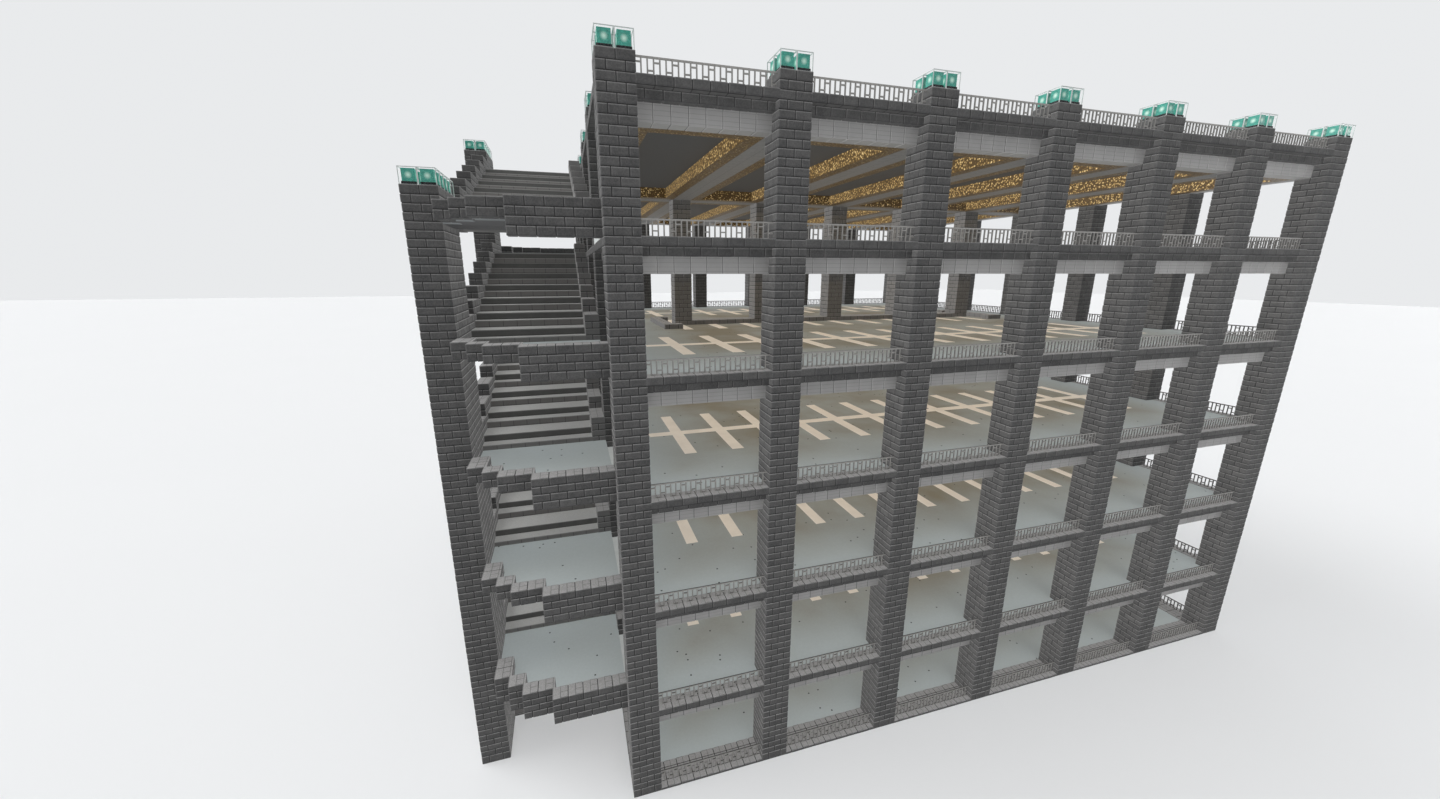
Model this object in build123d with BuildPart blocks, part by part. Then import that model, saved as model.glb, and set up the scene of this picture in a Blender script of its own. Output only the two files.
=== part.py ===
from build123d import *
import os

os.makedirs("parts", exist_ok=True)

# Half scale model of a multi storey car park. Lengths are in millimetres of the model,
# so 500 here is one metre of the real building. Z is up and the facade looks along -Y.

# Plan grid of the building
bay_count = 6
bay_pitch = 5000.0
column_side = 1000.0

# Heights of the building
ground_thickness = 100.0
first_storey = 3500.0
storey_height = 4000.0
deck_count = 6
deck_thickness = 500.0
column_rise = 500.0

# Masonry edge beams between the outer columns, with an overhanging top course
edge_depth = 500.0
edge_height = 500.0
edge_course = 250.0
edge_recess = 250.0

# Smooth beams under every deck
beam_drop = 500.0
beam_width = 1000.0
aisle_beam_width = 1000.0
middle_column_side = 1000.0

# Light strips along the beams
strip_width = 500.0
strip_drop = 500.0

# Railings between the outer columns
rail_height = 500.0
rail_inset = 250.0
rail_size = 45.0

# Kerbs on the decks
kerb_height = 250.0
kerb_width = 1000.0
island_width = 500.0
island_length = 5000.0
island_foot = 500.0
island_gap = 500.0

# Lanterns on top of the columns
lantern_height = 500.0
glass_thickness = 30.0
lamp_base_height = 75.0
lamp_margin = 70.0
lamp_height = 360.0

# Ramp tower on the left of the building
ramp_width = 4000.0
ramp_wall = 500.0
ramp_wall_height = 500.0
ramp_thickness = 500.0
step_count = 7
step_run = 1500.0
low_tread_run = 500.0
tower_column_width = 1000.0
tower_column_depth = 2500.0
tower_column_back = 500.0
front_column_rise = 1000.0
rear_column_rise = 1000.0

# Landings at both ends of the ramps
landing_thickness = 125.0
landing_wall = 500.0
landing_wall_height = 500.0
corner_tie = 50.0
landing_rise = 500.0
landing_wall_drop = 500.0
corner_run_1 = 500.0
corner_run_2 = 500.0
corner_run_3 = 1000.0
threshold_height = 250.0
low_wall_length = 1000.0
low_wall_height = 750.0

# Worked out plan lines
side_length = bay_count * bay_pitch + column_side
tower_width = ramp_wall + ramp_width + tower_column_width
x_left = (tower_width - side_length) / 2
x_right = x_left + side_length
y_front = -side_length / 2
y_rear = side_length / 2
clear_bay = bay_pitch - column_side

# Worked out heights
ground_level = ground_thickness
deck_levels = [ground_level + first_storey + n * storey_height for n in range(deck_count)]
roof_level = deck_levels[-1]
column_top = roof_level + column_rise

corner = (Align.MIN, Align.MIN, Align.MIN)
top_corner = (Align.MIN, Align.MIN, Align.MAX)

# Each side has its own frame: X runs along the side, Y points into the building
side_planes = {
    "front": Plane(origin=(x_left, y_front, 0), x_dir=(1, 0, 0), z_dir=(0, 0, 1)),
    "right": Plane(origin=(x_right, y_front, 0), x_dir=(0, 1, 0), z_dir=(0, 0, 1)),
    "rear": Plane(origin=(x_right, y_rear, 0), x_dir=(-1, 0, 0), z_dir=(0, 0, 1)),
    "left": Plane(origin=(x_left, y_rear, 0), x_dir=(0, -1, 0), z_dir=(0, 0, 1)),
}
bays = range(bay_count)
bay_starts = [column_side + n * bay_pitch for n in bays]

# On the left side the ramp tower is entered through the first bay and left through the fourth,
# counted from the facade, so those two bays have no railing
entry_bay_index = 0
exit_bay_index = 3
tower_entry_bay = bay_count - 1 - entry_bay_index
tower_exit_bay = bay_count - 1 - exit_bay_index
railed_bays = {side: list(bays) for side in side_planes}
railed_bays["left"] = [n for n in bays if n not in (tower_entry_bay, tower_exit_bay)]


def keep(part, name):
    """Labels one finished sub-part and writes its file."""
    part.label = name
    export_step(part, f"parts/{name}.step")


# Ground floor slab inside the columns
inner_length = side_length - 2 * column_side
with BuildPart(Plane.XY) as ground_slab:
    with Locations((x_left + column_side, y_front + column_side, 0)):
        Box(inner_length, inner_length, ground_thickness, align=corner)
keep(ground_slab.part, "ground_slab")

# Masonry strips flush with the ground between the outer columns
with BuildPart() as ground_strips:
    for plane in side_planes.values():
        with BuildSketch(plane):
            with Locations(*[(start, 0) for start in bay_starts]):
                Rectangle(clear_bay, column_side, align=(Align.MIN, Align.MIN))
    extrude(amount=ground_thickness)
keep(ground_strips.part, "ground_strips")

# Five decks and the roof deck
for number, level in enumerate(deck_levels, start=1):
    name = "roof_deck" if level == roof_level else f"deck_{number}"
    with BuildPart() as deck:
        with Locations((x_left + column_side, y_front + column_side, level)):
            Box(inner_length, inner_length, deck_thickness, align=top_corner)
    keep(deck.part, name)

# Outer columns, one node a side; the corner columns belong to the front and the rear
for side, plane in side_planes.items():
    first = 0 if side in ("front", "rear") else 1
    stop = bay_count + 1 if side in ("front", "rear") else bay_count
    with BuildPart() as columns:
        with BuildSketch(plane):
            with Locations(*[(n * bay_pitch, 0) for n in range(first, stop)]):
                Rectangle(column_side, column_side, align=(Align.MIN, Align.MIN))
        extrude(amount=column_top)
    keep(columns.part, f"{side}_columns")

# Masonry edge beams with the overhanging top course
for side, plane in side_planes.items():
    with BuildPart(plane) as edge_beams:
        with Locations(*[(start, 0, level) for start in bay_starts for level in deck_levels]):
            Box(clear_bay, edge_depth, edge_course, align=top_corner)
        lower = [(start, edge_recess, level - edge_course) for start in bay_starts for level in deck_levels]
        with Locations(*lower):
            Box(clear_bay, edge_depth - edge_recess, edge_height - edge_course, align=top_corner)
    keep(edge_beams.part, f"{side}_edge_beams")

# Smooth perimeter beams that carry the edge of each deck
perimeter_beam_depth = column_side - edge_depth
with BuildPart() as perimeter_beams:
    for plane in side_planes.values():
        for level in deck_levels:
            with BuildSketch(plane.offset(level)):
                with Locations(*[(start, edge_depth) for start in bay_starts]):
                    Rectangle(clear_bay, perimeter_beam_depth, align=(Align.MIN, Align.MIN))
    extrude(amount=-(deck_thickness + beam_drop))
keep(perimeter_beams.part, "perimeter_beams")

# Beams under each deck on the column lines, from the front to the rear
cross_half = aisle_beam_width / 2
beam_lines = [x_left + n * bay_pitch + (column_side - beam_width) / 2 for n in range(1, bay_count)]
beam_run = inner_length / 2 - cross_half
beam_tops = [level - deck_thickness for level in deck_levels]
with BuildPart() as long_beams:
    for top in beam_tops:
        with BuildSketch(Plane.XY.offset(top)):
            with Locations(*[(x, y_front + column_side) for x in beam_lines]):
                Rectangle(beam_width, beam_run, align=(Align.MIN, Align.MIN))
            with Locations(*[(x, cross_half) for x in beam_lines]):
                Rectangle(beam_width, beam_run, align=(Align.MIN, Align.MIN))
    extrude(amount=-beam_drop)
keep(long_beams.part, "long_beams")

# One beam across the middle of each deck, over the middle columns
with BuildPart() as cross_beams:
    with Locations(*[(x_left + column_side, -cross_half, top) for top in beam_tops]):
        Box(inner_length, aisle_beam_width, beam_drop, align=top_corner)
keep(cross_beams.part, "cross_beams")

# Middle columns, standing on each floor and carrying the crossing of the beams
middle_lines = [x_left + n * bay_pitch + (column_side - middle_column_side) / 2 for n in range(1, bay_count)]
floor_levels = [ground_level] + deck_levels[:-1]
with BuildPart() as middle_columns:
    for floor, top in zip(floor_levels, beam_tops):
        with Locations(*[(x, -middle_column_side / 2, floor) for x in middle_lines]):
            Box(middle_column_side, middle_column_side, top - beam_drop - floor, align=corner)
keep(middle_columns.part, "middle_columns")

# Light strips that line every coffer between the beams
coffer_starts = [x_left + column_side] + [x + beam_width for x in beam_lines]
coffer_ends = beam_lines + [x_right - column_side]
for number, top in enumerate(beam_tops, start=1):
    with BuildPart() as light_strips:
        with BuildSketch(Plane.XY.offset(top)):
            for start, end in zip(coffer_starts, coffer_ends):
                centre = (start + end) / 2
                row = cross_half + beam_run / 2
                with Locations((centre, -row), (centre, row)):
                    Rectangle(end - start, beam_run)
                    Rectangle(end - start - 2 * strip_width, beam_run - 2 * strip_width, mode=Mode.SUBTRACT)
        extrude(amount=-strip_drop)
    keep(light_strips.part, f"light_strips_{number}")

# Top rails of the railings, each ending in two columns
rail_faces = [ground_level] + deck_levels
for side, plane in side_planes.items():
    with BuildPart(plane) as railings:
        starts = [bay_starts[n] for n in railed_bays[side]]
        near = rail_inset - rail_size / 2
        with Locations(*[(start, near, level + rail_height) for start in starts for level in rail_faces]):
            Box(clear_bay, rail_size, rail_size, align=top_corner)
    keep(railings.part, f"{side}_railings")

# Kerbs on the decks: a row between the middle columns and an island at each end of it
row_starts = [x + middle_column_side for x in middle_lines[:-1]]
row_length = bay_pitch - middle_column_side
island_x = middle_lines[0] - island_gap - island_width
with BuildPart() as deck_kerbs:
    for level in deck_levels[:-1]:
        with BuildSketch(Plane.XY.offset(level)):
            with Locations(*[(x, -kerb_width / 2) for x in row_starts]):
                Rectangle(row_length, kerb_width, align=(Align.MIN, Align.MIN))
            for direction in (1, -1):
                leg_x = x_left + side_length / 2 + direction * (island_x - x_left - side_length / 2)
                align_x = Align.MIN if direction == 1 else Align.MAX
                with Locations((leg_x, 0)):
                    Rectangle(island_width, island_length, align=(align_x, Align.CENTER))
                with Locations((leg_x, -island_length / 2), (leg_x, island_length / 2 - island_foot)):
                    Rectangle(island_width + island_gap, island_foot, align=(align_x, Align.MIN))
    extrude(amount=kerb_height)
keep(deck_kerbs.part, "deck_kerbs")

# Plan lines of the ramp tower
x_wall_in = x_left - ramp_wall
x_ramp = x_wall_in - ramp_width
x_tower = x_ramp - tower_column_width
y_entry = y_front + column_side + entry_bay_index * bay_pitch
y_exit_end = y_front + column_side + exit_bay_index * bay_pitch + clear_bay
y_ramp = y_entry + clear_bay
y_ramp_end = y_ramp + step_count * step_run
landing_levels = [level + landing_rise for level in deck_levels[:-1]]
flight_starts = [ground_level] + landing_levels
flights = list(zip(flight_starts, deck_levels))

# Tower columns
front_column_top = landing_levels[-1] + front_column_rise
rear_column_top = roof_level + rear_column_rise
y_front_column = y_ramp + tower_column_back - tower_column_depth
with BuildPart() as tower_front_column:
    with Locations((x_tower, y_front_column, 0)):
        Box(tower_column_width, tower_column_depth, front_column_top, align=corner)
keep(tower_front_column.part, "tower_front_column")

with BuildPart() as tower_rear_column:
    with Locations((x_tower, y_ramp_end, 0)):
        Box(tower_column_width, tower_column_depth, rear_column_top, align=corner)
keep(tower_rear_column.part, "tower_rear_column")


def flight_steps(start, end):
    """Heights of the full treads of one ramp."""
    rise = (end - start) / step_count
    return rise, [start + (k + 1) * rise for k in range(step_count)]


def underside(treads, y_first):
    """Stepped underside of one ramp, from its upper end down to y_first."""
    points = []
    for k, tread in reversed(list(enumerate(treads))):
        y_near = y_ramp + k * step_run + low_tread_run if k else y_first
        y_far = min(y_ramp + (k + 1) * step_run + low_tread_run, y_ramp_end)
        points += [(y_far, tread - ramp_thickness), (y_near, tread - ramp_thickness)]
    return points


# Ramps: each module has one low tread and one full tread
with BuildPart() as ramps:
    for start, end in flights:
        rise, treads = flight_steps(start, end)
        points = []
        for k, tread in enumerate(treads):
            y = y_ramp + k * step_run
            points += [(y, tread - rise / 2), (y + low_tread_run, tread - rise / 2)]
            points += [(y + low_tread_run, tread), (y + step_run, tread)]
        points += underside(treads, y_ramp)
        with BuildSketch(Plane.YZ.offset(x_ramp)):
            with BuildLine():
                Polyline(*points, close=True)
            make_face()
            if start == ground_level:
                with Locations((y_ramp, 0)):
                    Rectangle(step_run + low_tread_run, ground_level, align=(Align.MIN, Align.MIN))
    extrude(amount=ramp_width)
keep(ramps.part, "ramps")


def soffit(start, rise, y_first):
    """Straight underside of one ramp wall, from its upper end down to y_first."""
    y_knee = y_ramp + step_run + low_tread_run
    z_knee = start + rise - ramp_thickness
    z_end = z_knee + rise / step_run * (y_ramp_end - y_knee)
    return [(y_ramp_end, z_end), (y_knee, z_knee), (y_first, z_knee)]


# Masonry walls on both sides of the ramps, stepped on top like the treads
for name, x_wall, y_wall in (("outer_ramp_walls", x_ramp - ramp_wall, y_ramp + tower_column_back),
                             ("inner_ramp_walls", x_wall_in, y_ramp)):
    with BuildPart() as walls:
        for start, end in flights:
            rise, treads = flight_steps(start, end)
            points = []
            for k, tread in enumerate(treads):
                y = max(y_ramp + k * step_run, y_wall)
                wall_top = tread + ramp_wall_height
                points += [(y, wall_top), (y_ramp + (k + 1) * step_run, wall_top)]
            points += soffit(start, rise, y_wall)
            with BuildSketch(Plane.YZ.offset(x_wall)):
                with BuildLine():
                    Polyline(*points, close=True)
                make_face()
                if start == ground_level:
                    with Locations((y_wall, 0)):
                        Rectangle(step_run + low_tread_run + y_ramp - y_wall, ground_level,
                                  align=(Align.MIN, Align.MIN))
        extrude(amount=ramp_wall)
    keep(walls.part, name)


# Landings: x of each wall end from the building outwards. Every wall steps in by one wall depth,
# and the outermost one reaches the tower column
wall_ends = [x_left, x_ramp + corner_run_1 + corner_run_2 + corner_run_3,
             x_ramp + corner_run_1 + corner_run_2, x_ramp + corner_run_1, x_ramp]
outer_wall = len(wall_ends) - 2
landings = {
    "front": (y_entry - landing_wall, 1, y_front_column, y_ramp, landing_levels),
    "rear": (y_exit_end + landing_wall, -1, y_ramp_end + tower_column_depth, y_ramp_end, deck_levels),
}
for end, (y_outer, inward, y_column, y_inner, levels) in landings.items():
    wall_plan = []
    floor_plan = [(x_left, y_inner)]
    for number, x_end in enumerate(wall_ends[1:]):
        x_start = wall_ends[number] + (corner_tie if number else 0)
        y_wall = y_outer + inward * number * landing_wall
        depth = abs(y_column - y_wall) if number == outer_wall else landing_wall
        wall_plan.append((x_end, x_start, min(y_wall, y_wall + inward * depth), depth))
        x_next = x_end + (0 if number == outer_wall else corner_tie)
        floor_plan += [(x_start, y_wall + inward * depth), (x_next, y_wall + inward * depth)]
    floor_plan += [(x_ramp, y_inner)]
    with BuildPart() as floors:
        for level in levels:
            with BuildSketch(Plane.XY.offset(level)):
                with BuildLine():
                    Polyline(*floor_plan, close=True)
                make_face()
        extrude(amount=landing_thickness / 2, both=True)
    keep(floors.part, f"{end}_landing_floors")
    with BuildPart() as walls:
        for level in levels:
            for number, (x_low, x_high, y_low, depth) in enumerate(wall_plan):
                hangs = end == "front" and (number == 0 or level == levels[0])
                drop = landing_wall_drop if hangs else 0
                with Locations((x_low, y_low, level - drop)):
                    Box(x_high - x_low, depth, landing_wall_height + drop, align=corner)
    keep(walls.part, f"{end}_landing_walls")

# Half steps between the front landings and the decks, and a low wall on the first one
entry_start = bay_starts[tower_entry_bay]
with BuildPart(side_planes["left"]) as thresholds:
    with Locations(*[(entry_start, 0, level) for level in deck_levels[:-1]]):
        Box(clear_bay, edge_depth, threshold_height, align=corner)
keep(thresholds.part, "threshold_slabs")

with BuildPart(side_planes["left"]) as low_wall:
    with Locations((entry_start, 0, deck_levels[0] + threshold_height)):
        Box(low_wall_length, edge_depth, low_wall_height, align=corner)
keep(low_wall.part, "threshold_low_wall")

# Lanterns on top of every outer column and both tower columns
rows = range(bay_count + 1)
caps = [(x_left + i * bay_pitch, y_front + j * bay_pitch, column_top, column_side, column_side)
        for i in rows for j in rows if i in (0, bay_count) or j in (0, bay_count)]
caps += [(x_tower, y_front_column, front_column_top, tower_column_width, tower_column_depth),
         (x_tower, y_ramp_end, rear_column_top, tower_column_width, tower_column_depth)]
with BuildPart() as lantern_glass:
    for x, y, z, width, depth in caps:
        with Locations((x, y, z)):
            Box(width, depth, lantern_height, align=corner)
        with Locations((x + glass_thickness, y + glass_thickness, z)):
            Box(width - 2 * glass_thickness, depth - 2 * glass_thickness, lantern_height - glass_thickness,
                align=corner, mode=Mode.SUBTRACT)
keep(lantern_glass.part, "lantern_glass")

with BuildPart() as lantern_bases:
    for x, y, z, width, depth in caps:
        with Locations((x + glass_thickness, y + glass_thickness, z)):
            Box(width - 2 * glass_thickness, depth - 2 * glass_thickness, lamp_base_height, align=corner)
keep(lantern_bases.part, "lantern_bases")

with BuildPart() as lantern_lamps:
    for x, y, z, width, depth in caps:
        with Locations((x + width / 2, y + depth / 2, z + lamp_base_height)):
            Box(width - 2 * lamp_margin, depth - 2 * lamp_margin, lamp_height,
                align=(Align.CENTER, Align.CENTER, Align.MIN))
keep(lantern_lamps.part, "lantern_lamps")
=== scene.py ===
import itertools
import math

import bpy
import numpy as np
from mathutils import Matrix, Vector
from mathutils.bvhtree import BVHTree


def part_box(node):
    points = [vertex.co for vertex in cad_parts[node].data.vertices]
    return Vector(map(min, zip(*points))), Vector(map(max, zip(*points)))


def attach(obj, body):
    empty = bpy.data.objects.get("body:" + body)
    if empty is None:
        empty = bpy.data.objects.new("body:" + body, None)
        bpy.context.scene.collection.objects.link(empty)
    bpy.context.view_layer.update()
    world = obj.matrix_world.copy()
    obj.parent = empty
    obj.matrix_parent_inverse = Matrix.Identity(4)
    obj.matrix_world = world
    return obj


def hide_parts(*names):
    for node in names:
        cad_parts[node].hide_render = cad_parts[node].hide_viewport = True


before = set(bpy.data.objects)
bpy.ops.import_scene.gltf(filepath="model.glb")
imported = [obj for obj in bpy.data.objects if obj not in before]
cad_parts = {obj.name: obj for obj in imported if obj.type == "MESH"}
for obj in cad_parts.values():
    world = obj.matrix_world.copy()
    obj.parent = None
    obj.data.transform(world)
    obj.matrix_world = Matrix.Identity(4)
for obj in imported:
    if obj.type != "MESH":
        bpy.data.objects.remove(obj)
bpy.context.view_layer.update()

# Multi storey car park, a scale model at 1:2, so half a metre here is one metre of the building.
# The facade looks along -Y and the ramp tower stands on the -X side.
print("frame loaded")

# Places that several pieces share
block = 0.5  # one module of the building
wallLow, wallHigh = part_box("front_columns")
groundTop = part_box("ground_slab")[1].z
deckNames = [f"deck_{number}" for number in range(1, 6)]
floorLevels = [groundTop] + [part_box(name)[1].z for name in deckNames]
deckTops = floorLevels[1:] + [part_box("roof_deck")[1].z]
firstStone = Vector((wallLow.x, wallLow.y, groundTop))  # the lattice of the masonry starts here


class Wire:  # one output of a node, with its sums written as Python
    def __init__(self, tree, socket=None):
        self.tree, self.socket = tree, socket

    def node(self, kind, settings=None, inputs=None, output=0):
        made = self.tree.nodes.new(kind)
        for key, value in (settings or {}).items():
            if key == "stops":
                ramp = made.color_ramp
                while len(ramp.elements) < len(value):
                    ramp.elements.new(0.5)
                for stop, (place, colour) in zip(ramp.elements, value):
                    stop.position, stop.color = place, colour
            else:
                setattr(made, key, value)
        for key, value in (inputs or {}).items():
            for each in value if isinstance(value, list) else [value]:
                if isinstance(each, Wire):
                    self.tree.links.new(each.socket, made.inputs[key])
                else:
                    made.inputs[key].default_value = each
        return Wire(self.tree, made.outputs[output] if len(made.outputs) else None)

    def other(self, output):
        return Wire(self.tree, self.socket.node.outputs[output])

    def math(self, operation, *values):
        return self.node("ShaderNodeMath", {"operation": operation}, dict(enumerate(values)))

    def vector(self, operation, *values):
        return self.node("ShaderNodeVectorMath", {"operation": operation}, dict(enumerate(values)))

    def split(self):
        x = self.node("ShaderNodeSeparateXYZ", None, {0: self})
        return x, x.other(1), x.other(2)

    def join(self, x, y, z):
        return self.node("ShaderNodeCombineXYZ", None, {0: x, 1: y, 2: z})

    def clamp(self):
        return self.math("MINIMUM", self.math("MAXIMUM", self, 0.0), 1.0)

    def __add__(self, other):
        return self.math("ADD", self, other)

    def __sub__(self, other):
        return self.math("SUBTRACT", self, other)

    def __rsub__(self, other):
        return self.math("SUBTRACT", other, self)

    def __mul__(self, other):
        return self.math("MULTIPLY", self, other)

    def __truediv__(self, other):
        return self.math("DIVIDE", self, other)

    def __mod__(self, other):
        return self.math("FLOORED_MODULO", self, other)

    def __or__(self, other):  # either of two masks
        return self.math("MAXIMUM", self, other)

    def __abs__(self):
        return self.math("ABSOLUTE", self)

    def __lt__(self, other):
        return self.math("LESS_THAN", self, other)

    def __gt__(self, other):
        return self.math("GREATER_THAN", self, other)

    __radd__, __rmul__ = __add__, __mul__


def paint(red, green, blue):  # a colour as a paint chart gives it, from 0 to 255, made linear
    chart = [c / 255 for c in (red, green, blue)]
    return (*[c / 12.92 if c <= 0.04045 else ((c + 0.055) / 1.055) ** 2.4 for c in chart], 1.0)


def mixColours(wire, factor, first, second):  # 6, 7 and 2 are the node's colour sockets
    return wire.node("ShaderNodeMix", {"data_type": "RGBA"}, {0: factor, 6: first, 7: second}, 2)


def makeMaterial(name, recipe, relief=0.0, sockets=None):
    # the recipe gives colour, roughness, height and what else varies over the surface
    material = bpy.data.materials.new(name)
    material.use_nodes = True
    tree = material.node_tree
    tree.nodes.clear()
    place = Wire(tree).node("ShaderNodeTexCoord", None, None, "Object")
    colour, roughness, height, more = recipe(place)
    inputs = {"Base Color": colour, "Roughness": roughness, **more, **(sockets or {})}
    if height is not None:
        inputs["Normal"] = place.node("ShaderNodeBump", None,
                                      {"Strength": 1.0, "Distance": relief, "Height": height})
    shader = place.node("ShaderNodeBsdfPrincipled", None, inputs)
    place.node("ShaderNodeOutputMaterial", None, {"Surface": shader})
    return material


def between(mask, ends):  # from the first value where the mask is 0 to the second where it is 1
    return ends[0] + mask * (ends[1] - ends[0])


pitCell = 0.031  # side of the small square pits that most finishes share
facingLimit = 0.5  # a face looks along an axis when that part of its direction is larger


def noise(place, scale, detail, roughness=0.55):
    return place.node("ShaderNodeTexNoise", None,
                      {"Vector": place, "Scale": scale, "Detail": detail, "Roughness": roughness})


def grain(place, cell=pitCell, shift=0.0):  # a random value for every small cell of the surface
    moved = place.vector("ADD", place, (shift,) * 3)
    steps = place.vector("FLOOR", place.vector("DIVIDE", moved, (cell,) * 3))
    return place.node("ShaderNodeTexWhiteNoise", {"noise_dimensions": "3D"}, {"Vector": steps})


def facing(place):  # the three parts of the surface's own direction
    return place.node("ShaderNodeNewGeometry", None, None, "True Normal").split()


def attributeOf(place, name, output="Vector"):
    settings = {"attribute_type": "GEOMETRY", "attribute_name": name}
    return place.node("ShaderNodeAttribute", settings, None, output)


def jointMask(coordinate, pitch, start, width):  # 1 on a thin line at every pitch along one axis
    return (coordinate - (start - width / 2)) % pitch < width


def panelSeams(place, width):  # upright joints at every module, on the faces that they divide
    x, y, _ = place.split()
    nx, ny, _ = facing(place)
    return (jointMask(x, block, wallLow.x, width) * (1 - abs(nx))
            | jointMask(y, block, wallLow.y, width) * (1 - abs(ny)))


def solidBoxes(node):  # lowest and highest corner of each separate solid of a CAD node
    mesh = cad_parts[node].data
    points = np.array([v.co for v in mesh.vertices], float)
    keys = {}
    # corners that agree to a hundredth of a millimetre are one
    first = [keys.setdefault(tuple(np.round(p, 5)), len(keys)) for p in points]
    parent = list(range(len(keys)))

    def root(n):
        while parent[n] != n:
            parent[n] = parent[parent[n]]
            n = parent[n]
        return n

    for polygon in mesh.polygons:
        corners = [root(first[v]) for v in polygon.vertices]
        for corner in corners[1:]:
            parent[root(corner)] = root(corners[0])
    groups = {}
    for index, key in enumerate(first):
        groups.setdefault(root(key), []).append(points[index])
    return [(np.min(g, axis=0), np.max(g, axis=0)) for g in groups.values()]


def growPiece(name, tree, points, attributes, sizes, material, node, hides=()):
    # the tree turns the points into finished solids, which are kept as one plain mesh
    mesh = bpy.data.meshes.new(name)
    mesh.from_pydata([tuple(p) for p in points], [], [])
    for key, values in attributes.items():
        vectors = np.ndim(values) == 2
        kind, field = ("FLOAT_VECTOR", "vector") if vectors else ("FLOAT", "value")
        attribute = mesh.attributes.new(key, kind, "POINT")
        attribute.data.foreach_set(field, np.ravel(values).astype(np.float32))
    piece = bpy.data.objects.new(name, mesh)
    bpy.context.collection.objects.link(piece)
    modifier = piece.modifiers.new("grow", "NODES")
    modifier.node_group = tree
    given = {**sizes, "Material": material}
    for item in tree.interface.items_tree:
        if item.in_out == "INPUT" and item.name in given:
            modifier[item.identifier] = given[item.name]
    bpy.context.view_layer.update()
    evaluated = piece.evaluated_get(bpy.context.evaluated_depsgraph_get())
    grown = bpy.data.meshes.new_from_object(evaluated)
    piece.modifiers.clear()
    piece.data = grown
    grown.name = name
    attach(piece, "root")
    if hides:
        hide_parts(*hides)
    print(name, len(grown.polygons), "faces")


def startTree(name, sizes):  # a tree with its named inputs
    tree = bpy.data.node_groups.new(name, "GeometryNodeTree")
    face = tree.interface
    face.new_socket("Geometry", in_out="OUTPUT", socket_type="NodeSocketGeometry")
    face.new_socket("Geometry", in_out="INPUT", socket_type="NodeSocketGeometry")
    face.new_socket("Material", in_out="INPUT", socket_type="NodeSocketMaterial")
    for key, value in sizes.items():
        kind = "NodeSocketInt" if isinstance(value, int) else "NodeSocketFloat"
        face.new_socket(key, in_out="INPUT", socket_type=kind).default_value = value
    return Wire(tree).node("NodeGroupInput", None, None, "Geometry")


def endTree(shape, material):  # instances made real, with their material
    real = shape.node("GeometryNodeRealizeInstances", None, {0: shape})
    done = real.node("GeometryNodeSetMaterial", None, {"Geometry": real, "Material": material})
    done.node("NodeGroupOutput", None, {0: done})
    return done.tree


def remember(points, name, value, kind="FLOAT_VECTOR"):
    return points.node("GeometryNodeStoreNamedAttribute", {"data_type": kind, "domain": "POINT"},
                       {"Geometry": points, "Name": name, "Value": value})


def recall(wire, name, kind="FLOAT_VECTOR"):
    return wire.node("GeometryNodeInputNamedAttribute", {"data_type": kind}, {"Name": name})


def randomValue(wire, least, most, seed):
    return wire.node("FunctionNodeRandomValue", {"data_type": "FLOAT"},
                     {2: least, 3: most, 8: seed}, 1)


def placedBox(points, size, place=(0.0, 0.0, 0.0)):
    cube = points.node("GeometryNodeMeshCube", None, {"Size": points.join(*size)})
    return points.node("GeometryNodeTransform", None,
                       {"Geometry": cube, "Translation": points.join(*place)})


def boxTree(name, sizes, boxes, turned=False):  # the same few boxes round every point
    points = startTree(name, sizes)
    parts = []
    boxes(lambda size, place: parts.append(placedBox(points, size, place)),
          *[points.other(key) for key in sizes])
    joined = points.node("GeometryNodeJoinGeometry", None, {0: parts})
    inputs = {"Points": points, "Instance": joined}
    if turned:
        inputs["Rotation"] = points.join(0.0, 0.0, recall(points, "turn", "FLOAT"))
    laid = points.node("GeometryNodeInstanceOnPoints", None, inputs)
    return endTree(laid, points.other("Material"))


# The sides that a block of a wall or a corner shows, each as its axis and direction
shownSides = [((axis, sign),) for axis in (0, 1) for sign in (-1, 1)]
shownSides += [((0, signX), (1, signY)) for signX in (-1, 1) for signY in (-1, 1)]
secondDraw = 100  # added to the seed where the relief of a block is drawn, apart from its tone


def blockSizes(layout):  # the named inputs of the tree of blocks
    return {"Joint width": layout["joint"], "Stand proud": layout["proud"],
            "Least proud": layout["leastProud"], "Chamfer": layout["chamfer"],
            "Seed": layout["seed"]}


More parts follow.
